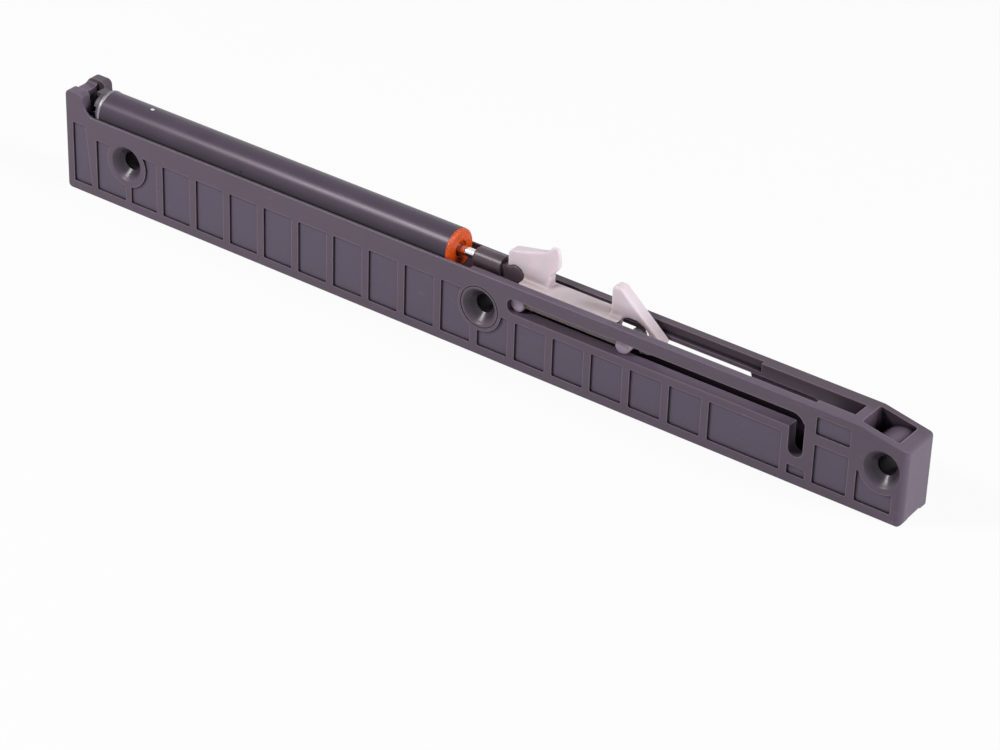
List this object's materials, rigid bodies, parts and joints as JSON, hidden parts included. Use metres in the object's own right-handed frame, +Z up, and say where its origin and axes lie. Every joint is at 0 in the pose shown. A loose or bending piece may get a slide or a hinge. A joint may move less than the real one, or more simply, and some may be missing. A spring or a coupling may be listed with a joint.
{
  "type": "drawer damper",
  "caption": "Slim soft-close damper for a drawer: long screw-on plastic housing with an oil damper and a sprung sliding catch.",
  "frame": {"origin": "middle of the bounding box on the plane the housing stands on", "axes": "+X along the housing from the closed end to the open end, +Y into the cabinet side it is screwed to (the front face with the countersinks looks to -Y), +Z up towards the catch horns"},
  "size_m": [0.2146, 0.01, 0.028],
  "materials": {
    "housing_plastic": "dark purple grey moulded plastic, fine satin grain",
    "tube_coated": "dark grey satin coated aluminium tube",
    "bright_aluminium": "bare bright rolled rim",
    "plug_plastic": "dark grey plastic",
    "black_rubber": "black rubber",
    "foam": "soft dark foam",
    "steel": "plain steel",
    "orange_plastic": "orange moulded plastic, slightly waxy",
    "polished_steel": "polished rod",
    "white_plastic": "milky white translucent plastic",
    "connector_plastic": "dark grey plastic",
    "spring_steel": "bright spring wire"
  },
  "bodies": {
    "root": {"housing": "housing_plastic", "damper_tube": "tube_coated", "tube_end_ring": "bright_aluminium", "tube_end_plug": "plug_plastic", "plug_o_ring": "black_rubber", "compensator_foam": "foam", "rod_seal": "black_rubber", "seal_washer": "steel", "front_cap": "orange_plastic", "tension_spring": "spring_steel"},
    "rod": {"piston_rod": "polished_steel", "piston": "plug_plastic", "piston_ring": "white_plastic", "valve_disc": "steel", "piston_clip": "steel", "rod_end": "connector_plastic"},
    "catch": {"catch": "white_plastic"}
  },
  "joints": [
    {"name": "catch_slide", "type": "slide", "parent": "root", "child": "catch", "axis": [1, 0, 0], "range_m": [0, 0.041], "stiffness_N_per_m": 120, "springref_m": -0.06, "deforming": ["tension_spring"]},
    {"name": "rod_slide", "type": "slide", "parent": "root", "child": "rod", "axis": [1, 0, 0], "range_m": [0, 0.041]}
  ],
  "couplings": [
    {"joint": "rod_slide", "follows": "catch_slide", "ratio": 1}
  ]
}
